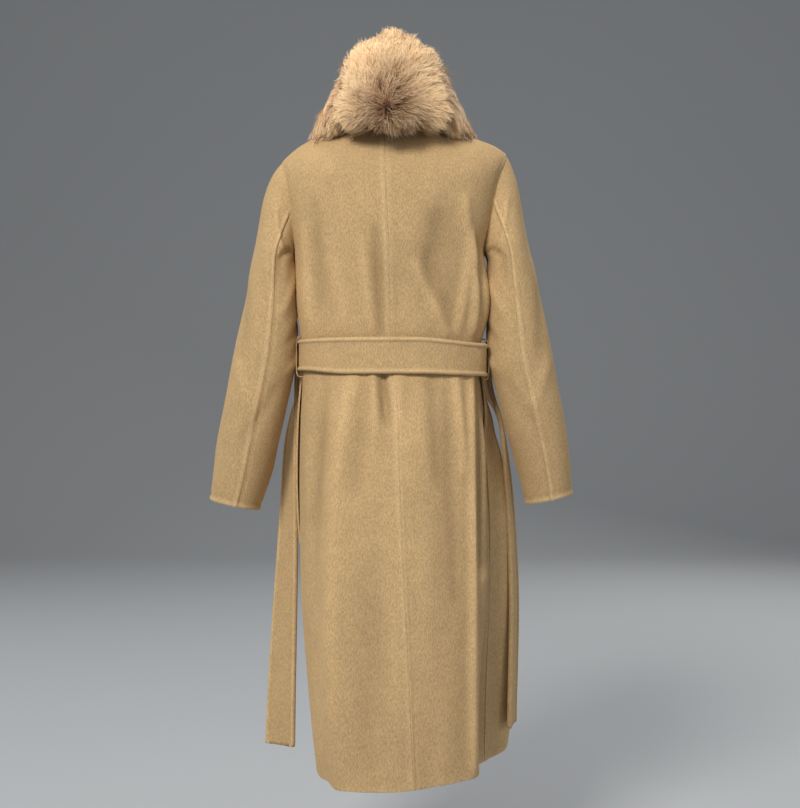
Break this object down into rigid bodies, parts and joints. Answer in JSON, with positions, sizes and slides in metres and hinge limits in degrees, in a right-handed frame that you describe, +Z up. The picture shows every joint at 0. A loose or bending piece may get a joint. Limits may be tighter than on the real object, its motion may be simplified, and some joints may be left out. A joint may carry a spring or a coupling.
{
  "type": "belted wool coat with fur collar",
  "caption": "Long straight coat of thick wool with set-in sleeves, a wide fur collar and a cloth belt whose ends hang free at the sides; worn pose, hollow and open at neck, cuffs and hem.",
  "frame": {"origin": "level with the shoulder at the neck, midway between front and back, on the line that the wearer's shoulders hold", "axes": "+Z up, the front faces -Y, +X is the wearer's left"},
  "size_m": [0.642, 0.355, 1.2623],
  "materials": {
    "wool": "matte brushed wool with a short nap",
    "fur": "long soft fur, darker at the roots"
  },
  "bodies": {
    "root": {"back_left": "wool", "back_right": "wool", "front_left": "wool", "front_right": "wool", "sleeve_upper_left": "wool", "sleeve_under_left": "wool", "sleeve_upper_right": "wool", "sleeve_under_right": "wool", "belt_waist": "wool", "belt_tail_left": "wool", "belt_tail_right": "wool", "belt_loop_left": "wool", "belt_loop_right": "wool", "collar_fur": "fur"}
  },
  "joints": []
}
